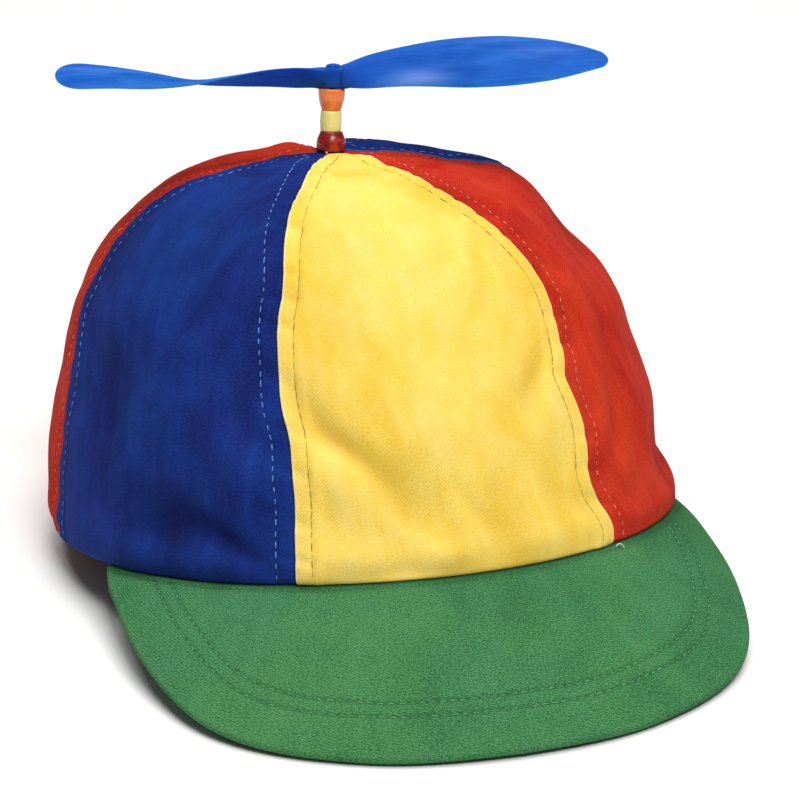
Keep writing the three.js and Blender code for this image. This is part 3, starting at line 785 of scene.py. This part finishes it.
# Crown panels

def panel_columns():
    """Shares across a panel, close together beside the seams where the sewing is."""
    rim_width = PANEL_ANGLE * HEAD_WIDTH / 2
    lap, allowance = np.linspace(0, 1.4, 7), np.linspace(1.8, 9.0, 15)
    steps = np.concatenate([lap, allowance, np.linspace(10.2, rim_width / 2, 32)])
    half = steps / rim_width
    return np.concatenate([half, 1 - half[-2::-1]])


def panel_lifts():
    """Shares up a panel, close together at the rim where the hem turns in."""
    top = math.acos(TOP_HOLE / (HEAD_WIDTH / 2)) * 2 / math.pi
    hem = np.array([0, 0.15, 0.35, 0.6, 0.9, 1.4, 2.1]) / PROFILE_LENGTH
    return np.concatenate([hem, np.linspace(3.0 / PROFILE_LENGTH, top, 150)])


def make_panel(panel):
    across, lifts = panel_columns(), panel_lifts()
    a, l = np.meshgrid(across, lifts)
    columns, rows = len(across) - 1, len(lifts) - 1
    outer = panel_surface(panel, a, l)
    inner = panel_surface(panel, a, l, CLOTH * 0.8)
    rim_angle = seam_angle(panel - 1, 0.0) + across * PANEL_ANGLE
    inner[0] = outer[0] - crown_out(rim_angle, np.zeros(len(across))) * RIM_CLOTH
    points = np.concatenate([outer.reshape(-1, 3), inner.reshape(-1, 3)])
    layer = a.size
    faces = [*grid_faces(columns, rows), *grid_faces(columns, rows, layer, flip=True),
             *edge_faces(columns, rows, layer)]
    width = panel_width(panel, l)
    u = (a - 0.5) * width
    v = l * PROFILE_LENGTH
    uv = np.stack([u, v], -1).reshape(-1, 2)
    uv = np.concatenate([uv, uv + [200, 0]])
    sides = [a * width, (1 - a) * width]
    # The edge attribute is the distance from the lapped edges, where the twill paints its pale worn edge
    # with a painted highlight
    over = [s for s, side in zip(sides, (0, 1)) if is_lapped_over(panel, side)]
    edge = np.minimum.reduce([*over, np.full_like(a, 9.0)])
    edge = np.concatenate([edge.ravel(), np.full(layer, 9.0)])
    # Painted shade: darker in fold valleys and in the seams' crevices, grooves and puckers
    crease_shade = joined_folds(panel, a, l, width) + 3.6 * np.minimum(seams_relief(panel, a, l) + 0.1, 0)
    crease_shade = np.concatenate([crease_shade.ravel(), np.zeros(layer)])
    name = PANELS[panel]
    obj = mesh_object(f"{name}_cloth", place(points), faces, MATERIALS[PANEL_COLOURS[panel]],
                      uv=uv, attributes={"edge": edge, "crease_shade": crease_shade})
    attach(obj, "cap")
    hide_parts(name)
    return obj


# Brim

def brim_row(distance):
    """The turn and across places of a line at a set distance in from the brim's edge."""
    turns = np.linspace(-1, 1, 401)
    edge = brim_surface(turns, 1.0)[:, :2]
    way = unit(np.gradient(edge, axis=0))
    inward = np.stack([-way[:, 1], way[:, 0]], -1)
    goal = edge + inward * distance * 0.86
    turn, across = turns.copy(), np.full(len(turns), 0.7)
    for _ in range(12):
        here = brim_surface(turn, across)[:, :2]
        step = 1e-3
        by_turn = (brim_surface(turn + step, across)[:, :2] - here) / step
        by_across = (brim_surface(turn, across + step)[:, :2] - here) / step
        jacobian = np.stack([by_turn, by_across], -1) + np.eye(2) * 1e-3
        move = np.linalg.solve(jacobian, (goal - here)[..., None])[..., 0]
        turn = np.clip(turn + np.clip(move[:, 0], -0.1, 0.1), -1, 1)
        across = np.clip(across + np.clip(move[:, 1], -0.2, 0.2), 0, 1)
    near = np.linalg.norm(brim_surface(turn, across)[:, :2] - goal, axis=1) < 0.4
    good = near & (across > 0.02) & (np.abs(turn) < 0.985)
    return turn[good], across[good]


ROW_LINES = [brim_row(distance) for distance in BRIM_ROWS]


def near_rows(turn, across, width):
    """1 on the brim's stitch rows, falling to 0 beside them."""
    reach = brim_reach(turn)
    total = 0
    for row_turn, row_across in ROW_LINES:
        beside = (across - np.interp(turn, row_turn, row_across)) * reach
        last = row_turn.max()
        within = smooth(np.abs(turn), last + 0.02, last - 0.02)
        total = total + np.exp(-((beside / width) ** 2)) * within
    return total


def brim_relief(turn, across):
    """Unevenness of the brim's faces: stitch grooves and soft waves, in millimetres."""
    reach = brim_reach(turn)
    inward = (1 - across) * reach
    x = turn * 110
    grooves = -ROW_GROOVE * near_rows(turn, across, 0.75)
    soft = 0.22 * ripple(x, across * 60, 36, 71) + 0.06 * ripple(x, across * 60, 12, 72)
    joint = -0.6 * np.exp(-(((across * reach - 0.9) / 0.8) ** 2))
    return grooves + joint + soft * smooth(across, 0.0, 0.15) * smooth(inward, 0.0, 4.0)


def make_brim():
    end = 0.86
    turns = np.concatenate([np.linspace(-1, -end, 24)[:-1], np.linspace(-end, end, 190),
                            np.linspace(end, 1, 24)[1:]])
    top = np.concatenate([[-1.0, -0.5], np.linspace(0, 0.93, 100), np.linspace(0.935, BRIM_EDGE, 4)])
    t, a = np.meshgrid(turns, top, indexing="ij")
    upper = brim_surface(t, a)
    lower = brim_surface(t, a[:, ::-1], BRIM_THICKNESS)
    rise = brim_relief(t, np.maximum(a, 0))
    upper[..., 2] += rise + SEWN_RISE * np.clip(-a, 0, 1)
    lower[..., 2] += rise[:, ::-1] * 0.6
    roll = []
    for angle in np.linspace(0, math.pi, 9)[1:-1]:
        point = brim_surface(turns, BRIM_EDGE, BRIM_THICKNESS / 2)
        reach = np.minimum(brim_reach(turns) * 0.03, BRIM_THICKNESS / 2) + 0.1
        point = point + rim_out(turns * BRIM_HALF_ANGLE) * (reach * math.sin(angle))[:, None]
        point[:, 2] += BRIM_THICKNESS / 2 * math.cos(angle)
        roll.append(point)
    loops = np.concatenate([upper, np.stack(roll, 1), lower], axis=1)
    around = loops.shape[1]
    reach = brim_reach(turns)[:, None]
    round_edge = np.linspace(0.3, 3.4, len(roll)) * np.ones_like(reach)
    v = np.concatenate([a * reach, reach + round_edge, reach + 3.7 + (1 - a[:, ::-1]) * reach], 1)
    uv = np.stack([t[:, :1] * 125 * np.ones_like(v), v], -1)
    from_wall = np.maximum(a, 0) * reach
    # Painted shade on the brim: darker at the joint with the crown, towards its right end near the crown,
    # and along the stitch rows
    crease_shade = np.zeros(v.shape)
    crease_shade[:, :len(top)] = (-1.8 * np.exp(-((from_wall / 3) ** 2))
                            - 2.6 * smooth(t, 0.45, 0.8) * np.exp(-((from_wall / 20) ** 2)))
    crease_shade[:, :len(top)] -= 3.4 * near_rows(t, np.maximum(a, 0), 0.7)
    obj = mesh_object("brim_cloth", place(loops.reshape(-1, 3)), ring_faces(around, len(turns)),
                      MATERIALS["green"], uv=uv.reshape(-1, 2),
                      attributes={"edge": np.full(v.size, 9.0), "crease_shade": crease_shade.ravel()})
    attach(obj, "cap")
    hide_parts("brim")
    return obj


# Stitches

def stitch_mesh(starts, ends, outs, radius):
    """Closed tapered threads, each from a start to an end, bowed out of the cloth."""
    around, rings = 6, 6
    t = np.linspace(0, 1, rings)
    bow = np.sin(t * math.pi) ** 0.7
    size = radius * (0.35 + 0.65 * np.sin(np.clip(t * math.pi, 0, math.pi)) ** 0.4)
    along = ends - starts
    way = unit(along)
    side = unit(np.cross(way, outs))
    out = np.cross(side, way)
    height = (bow - 0.45) * radius * 1.1
    middle = starts[:, None] + along[:, None] * t[:, None] + out[:, None] * height[:, None]
    angle = np.arange(around) * 2 * math.pi / around
    circle = side[:, None, None] * np.cos(angle)[:, None] + out[:, None, None] * np.sin(angle)[:, None]
    points = middle[:, :, None] + circle * size[:, None, None]
    count = len(starts)
    one = ring_faces(around, rings)
    faces = []
    for k in range(count):
        base = k * around * rings
        faces.extend(tuple(base + v for v in face) for face in one)
    return points.reshape(-1, 3), faces


def stitches_along(points, outs, colour, seed):
    """Starts, ends and ways out of the stitches of one row laid along a line of points."""
    rng = np.random.default_rng(seed)
    steps = np.linalg.norm(np.diff(points, axis=0), axis=1)
    length = np.concatenate([[0], np.cumsum(steps)])
    size, pitch, radius = STITCH[colour]
    begins = np.arange(0.6, length[-1] - pitch, pitch)
    begins = begins + rng.uniform(-0.06, 0.06, len(begins)) * pitch
    finishes = begins + size * rng.uniform(0.82, 1.12, len(begins))
    finishes = np.minimum(finishes, np.append(begins[1:], 1e9) + (0.8 if size > pitch else -0.1))
    at = lambda values, places: np.stack([np.interp(places, length, values[:, k]) for k in range(3)], -1)
    ways = unit(at(outs, (begins + finishes) / 2))
    side = unit(np.cross(ways, at(points, finishes) - at(points, begins)))
    slant = rng.uniform(-0.12, 0.2, (len(begins), 1))
    depth = ways * rng.uniform(-0.5, 0.1, (len(begins), 1)) * radius
    return at(points, begins) + side * slant + depth, at(points, finishes) - side * slant + depth, ways


def seam_row(panel, side):
    """The line that a panel's stitch row follows beside one of its seams, and the ways out."""
    lifts = np.linspace(0.012, 0.955, 400)
    row = SEAM_ROWS[PANEL_COLOURS[panel]]
    share = np.minimum(row / panel_width(panel, lifts), 0.4)
    across = share if side == 0 else 1 - share
    points = panel_surface(panel, across, lifts)
    ring = profile(lifts)[0] * HEAD_WIDTH / 2
    angle = seam_angle(panel - 1, lifts) + across * panel_width(panel, lifts) / ring
    return points, crown_out(angle, lifts)


def make_threads(name, rows, colour):
    starts, ends, outs = (np.concatenate(part) for part in zip(*rows))
    points, faces = stitch_mesh(starts, ends, outs, STITCH[colour][2])
    obj = mesh_object(name, place(points), faces, THREAD_MATERIALS[colour])
    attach(obj, "cap")
    return obj


def make_seam_threads():
    for colour in ("blue", "yellow", "red"):
        rows = []
        for panel in range(6):
            if PANEL_COLOURS[panel] == colour:
                rows += [stitches_along(*seam_row(panel, side), colour, panel * 2 + side) for side in (0, 1)]
        make_threads(f"seam_thread_{colour}", rows, colour)


def make_brim_threads():
    rows = []
    for k, (turn, across) in enumerate(ROW_LINES):
        points = brim_surface(turn, across)
        points[:, 2] += brim_relief(turn, across)
        step = 0.01
        one = brim_surface(turn + step, across) - points
        two = brim_surface(turn, across + step) - points
        outs = unit(np.cross(two, one))
        outs *= np.sign(outs[:, 2:3])
        rows.append(stitches_along(points, outs, "green", 90 + k))
    make_threads("brim_thread", rows, "green")


def make_loose_thread():
    """A short end of white thread that has come out where the front seam meets the brim."""
    t = np.linspace(0, 1, 14)
    angle = seam_angle(0, 0.0)
    turn = (angle - 0.004 + t * 0.027) / BRIM_HALF_ANGLE
    line = brim_surface(turn, 0.02 + 0.03 * t)
    line[:, 2] += 0.25 + 1.1 * np.sin(t * math.pi)
    around = 6
    way = unit(np.gradient(line, axis=0))
    side = unit(np.cross(way, [0.0, 0.0, 1.0]))
    up = np.cross(side, way)
    corner = np.arange(around) * 2 * math.pi / around
    ring = side[:, None] * np.cos(corner)[:, None] + up[:, None] * np.sin(corner)[:, None]
    obj = mesh_object("loose_thread", place((line[:, None] + ring * 0.13).reshape(-1, 3)),
                      ring_faces(around, len(t)), THREAD_MATERIALS["loose"])
    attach(obj, "cap")


# Beads and pin

def turned_faces(around, count, start=0):
    """Faces of a turned outline, each of its points a ring and the last joined to the first."""
    faces = []
    for k in range(count):
        low, high = start + k * around, start + (k + 1) % count * around
        for i in range(around):
            after = (i + 1) % around
            faces.append((low + i, low + after, high + after, high + i))
    return faces


def turned(name, outline, material, play=(0, 0), around=64):
    """A turned piece about the pin from a closed outline of (radius, height) pairs."""
    outline = np.asarray(outline, float)
    angle = np.arange(around) * 2 * math.pi / around
    rings = np.stack([outline[:, :1] * np.cos(angle), outline[:, :1] * np.sin(angle),
                      np.repeat(outline[:, 1:], around, 1)], -1)
    count = len(outline)
    uv = np.stack([np.broadcast_to(angle * 4, (count, around)), rings[..., 2]], -1)
    points = place_on_pin(rings.reshape(-1, 3) + [*play, 0])
    return mesh_object(name, points, turned_faces(around, count), material,
                       uv=uv.reshape(-1, 2), attributes={"edge": np.zeros(count * around)})


def rolled_rim(radius, height, roll, low, high):
    """Points of a quarter round about a middle, from one angle in degrees to another."""
    angles = np.radians(np.linspace(low, high, 6))
    return [(radius + roll * math.cos(a), height + roll * math.sin(a)) for a in angles]


def bead_outline(foot_at, height, foot, belly, top):
    """A rounded bead: the side bulges between two rolled rims, round a plain bore."""
    roll = 0.5
    side = rolled_rim(foot - roll, roll, roll, -90, 0)
    for t in np.linspace(0.15, 0.85, 8):
        radius = spline([0, 0.5, 1], [foot, belly, top], t)
        side.append((float(radius), roll + t * (height - 2 * roll)))
    side += rolled_rim(top - roll, height - roll, roll, 0, 90)
    bore = [(BORE, height - 0.2), (BORE, height / 2), (BORE, 0.2)]
    return [(r, z + foot_at) for r, z in side + bore]


def make_beads():
    for name, sizes in BEADS.items():
        obj = turned(f"{name}_turned", bead_outline(**sizes), BEAD_MATERIALS[name], BEAD_PLAY[name])
        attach(obj, "cap")
        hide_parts(name)


def make_pin():
    """The pin: washer, shaft and a small domed head on the hub."""
    head = HUB_FOOT + HUB_HEIGHT + PIN_HEAD_GAP
    dome = [(PIN_HEAD_RADIUS * math.cos(a), head + PIN_HEAD_HEIGHT * math.sin(a))
            for a in np.linspace(0, 1.52, 9)]
    outline = [(0.02, WASHER_TOP - WASHER_THICKNESS), (WASHER_RADIUS - 0.3, WASHER_TOP - WASHER_THICKNESS),
               (WASHER_RADIUS, WASHER_TOP - WASHER_THICKNESS + 0.3), (WASHER_RADIUS, WASHER_TOP - 0.2),
               (WASHER_RADIUS - 0.2, WASHER_TOP), (SHAFT_RADIUS, WASHER_TOP), (SHAFT_RADIUS, head),
               *dome, (0.02, head + PIN_HEAD_HEIGHT)]
    obj = turned("spindle_turned", outline, BLUE_PLASTIC)
    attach(obj, "cap")
    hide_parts("spindle")


# Propeller

def blade_rings(sections, turn):
    """Closed rings of points along one blade, thin and rounded at its edges."""
    out, chord, pitch, rise = (np.array(column, float) for column in zip(*sections))
    tip_from = 0.93
    rounding = np.sin(np.linspace(0, math.pi / 2, 20)[1:])
    stations = np.concatenate([np.linspace(out[0], tip_from, 54), tip_from + 0.07 * rounding])
    chords = spline(out, chord, stations) * BLADE_CHORD
    pitches = np.radians(spline(out, pitch, stations))
    rises = spline(out, rise, stations) * BLADE_LENGTH + BLADE_LEVEL
    tip = np.clip((1 - stations) / TIP_ROUND[sections is SECOND_BLADE], 0, 1)
    chords = chords * np.sqrt(1 - (1 - tip) ** 2).clip(0.06, 1)
    angle = np.arange(36) * 2 * math.pi / 36
    across = 0.5 * np.sign(np.cos(angle)) * np.abs(np.cos(angle)) ** 0.72
    thin = np.sign(np.sin(angle)) * np.abs(np.sin(angle)) ** 0.5
    flat = chords[:, None] * across
    swell = 1 - 0.45 * (2 * across) ** 2
    thick = (BLADE_CAMBER * chords[:, None] * (1 - (2 * across) ** 2)
             + BLADE_THICKNESS / 2 * thin * swell * np.clip(tip + 0.35, 0, 1)[:, None])
    reach = (stations * BLADE_LENGTH)[:, None]
    at_root = np.exp(-(((reach - 2) / 6) ** 2))
    thick = thick + ROOT_SWELL * thin * (1 - (2 * across) ** 2) * at_root
    # Moulded sheet is never quite true
    waves = ripple(reach, flat, 30, int(10 + turn))
    thick = thick + 0.22 * waves * smooth(stations, 0.1, 0.3)[:, None]
    x = np.repeat(reach, len(angle), 1)
    y = flat * np.cos(pitches)[:, None] - thick * np.sin(pitches)[:, None]
    z = rises[:, None] + flat * np.sin(pitches)[:, None] + thick * np.cos(pitches)[:, None]
    c, s = math.cos(turn), math.sin(turn)
    points = np.stack([c * x - s * y, s * x + c * y, z + HUB_FOOT], -1)
    uv = np.stack([x + turn * 60, flat + 40 * (thin < 0)], -1)
    # Painted highlight: pale gloss patches, put on one face of the blade only
    painted_gloss = 0
    for out_at, chord_at, length, width, strength in PAINTED_GLOSS_PATCHES[sections is SECOND_BLADE]:
        painted_gloss = painted_gloss + strength * np.exp(-(((x - out_at) / length) ** 2) - ((flat - chord_at) / width) ** 2)
    return points, uv, x, painted_gloss * (thin > 0)


def make_propeller():
    points, faces, uvs, edges, painted_glosses = [], [], [], [], []
    start = 0
    for sections, turn in ((FIRST_BLADE, PROPELLER_TURN), (SECOND_BLADE, PROPELLER_TURN + math.pi)):
        rings, uv, reach, painted_gloss = blade_rings(sections, turn)
        faces += ring_faces(rings.shape[1], rings.shape[0], start)
        start += rings.shape[0] * rings.shape[1]
        points.append(rings.reshape(-1, 3))
        uvs.append(uv.reshape(-1, 2))
        edges.append(reach.ravel())
        painted_glosses.append(painted_gloss.ravel())
    around = 56
    outline = []
    for middle, quarter in ((HUB_ROLL, -math.pi / 2), (HUB_HEIGHT - HUB_ROLL, 0)):
        for a in np.linspace(quarter, quarter + math.pi / 2, 5):
            outline.append((HUB_RADIUS + HUB_ROLL * (math.cos(a) - 1), middle + HUB_ROLL * math.sin(a)))
    outline = np.array(outline + [(BORE, HUB_HEIGHT - 0.1), (BORE, 0.1)])
    angle = np.arange(around) * 2 * math.pi / around
    along = np.cos(angle - PROPELLER_TURN) ** 4
    radius = outline[:, :1] + np.where(outline[:, :1] > BORE, HUB_REACH, 0) * along
    height = outline[:, 1:] - HUB_DROP * along * (outline[:, 1:] > HUB_HEIGHT / 2)
    rings = np.stack([radius * np.cos(angle), radius * np.sin(angle), height + HUB_FOOT], -1)
    count = len(outline)
    faces += turned_faces(around, count, start)
    points.append(rings.reshape(-1, 3))
    uv = np.stack([np.broadcast_to(angle * 5 - 90, (count, around)), rings[..., 2]], -1)
    uvs.append(uv.reshape(-1, 2))
    edges.append(np.zeros(count * around))
    painted_glosses.append(np.zeros(count * around))
    obj = mesh_object("propeller_moulding", place_on_pin(np.concatenate(points)), faces, BLUE_PLASTIC,
                      uv=np.concatenate(uvs),
                      attributes={"edge": np.concatenate(edges), "painted_gloss": np.concatenate(painted_glosses)})
    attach(obj, "propeller")
    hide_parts("propeller")


# Floor, light and camera

def make_floor():
    n = Nodes("pale_floor")
    material = n.finish(base_color=srgb("#f4f4f2"), roughness=0.9, specular_ior_level=0.1)
    half = 12.0
    corners = [(-half, -half, 0), (half, -half, 0), (half, half, 0), (-half, half, 0)]
    floor = mesh_object("floor", np.array(corners) - [0, 0, 0.0004], [(0, 1, 2, 3)], material)


WORLD_STRENGTH = 0.12
# Name, azimuth, elevation, distance and size in metres, watts
LIGHTS = [("key", 4, 58, 2.4, 1.05, 38), ("overhead", 180, 78, 3.0, 2.4, 76)]


def make_light(name, azimuth, elevation, distance, size, power, colour=(1, 1, 1)):
    """A square soft light that looks at the middle of the crown."""
    data = bpy.data.lights.new(name, "AREA")
    data.shape = "SQUARE"
    data.size = size
    data.energy = power
    data.color = colour
    light = link(bpy.data.objects.new(name, data))
    a, e = math.radians(azimuth), math.radians(elevation)
    aim = Vector((0, 0, 0.07))
    back = Vector((math.sin(a) * math.cos(e), -math.cos(a) * math.cos(e), math.sin(e)))
    light.location = aim + back * distance
    light.rotation_euler = back.to_track_quat("Z", "Y").to_euler()


def make_world(strength):
    world = bpy.data.worlds.new("studio")
    world.use_nodes = True
    world.node_tree.nodes["Background"].inputs[0].default_value = (1, 1, 1, 1)
    world.node_tree.nodes["Background"].inputs[1].default_value = strength
    bpy.context.scene.world = world


# The photograph's view of the cap, in the cap's own frame: angles in degrees, the distance of
# the camera and its offsets from the rim's middle, and its focal length in pixels of the
# 800 pixel frame
VIEW_AZIMUTH = -16.384
VIEW_ELEVATION = 12.899
VIEW_ROLL = -2.283
VIEW_DISTANCE = 900.0
VIEW_RIGHT = 10.707
VIEW_UP = 29.106
FOCAL_PIXELS = 3023.6
FRAME_PIXELS = 800


def make_camera():
    a, e, r = (math.radians(v) for v in (VIEW_AZIMUTH, VIEW_ELEVATION, VIEW_ROLL))
    back = np.array([math.sin(a) * math.cos(e), -math.cos(a) * math.cos(e), math.sin(e)])
    level = np.array([math.cos(a), math.sin(a), 0])
    upright = np.cross(back, level)
    right = level * math.cos(r) + upright * math.sin(r)
    up = -level * math.sin(r) + upright * math.cos(r)
    spot = back * VIEW_DISTANCE + right * VIEW_RIGHT + up * VIEW_UP
    axes = turn_back @ np.stack([right, up, back], -1)
    where = (turn_back @ spot + shift) * MM
    matrix = Matrix.Identity(4)
    for row in range(3):
        matrix[row][0:3] = axes[row]
        matrix[row][3] = where[row]
    data = bpy.data.cameras.new("camera")
    data.sensor_width = 36
    data.lens = FOCAL_PIXELS / FRAME_PIXELS * data.sensor_width
    data.clip_end = 20
    camera = link(bpy.data.objects.new("camera", data))
    camera.matrix_world = matrix
    bpy.context.scene.camera = camera


make_camera()
for panel_number in range(6):
    make_panel(panel_number)
make_brim()
make_seam_threads()
make_brim_threads()
make_loose_thread()
make_beads()
make_pin()
make_propeller()
make_floor()
make_world(WORLD_STRENGTH)
for light_row in LIGHTS:
    make_light(*light_row)
bpy.context.scene.view_settings.view_transform = "Standard"
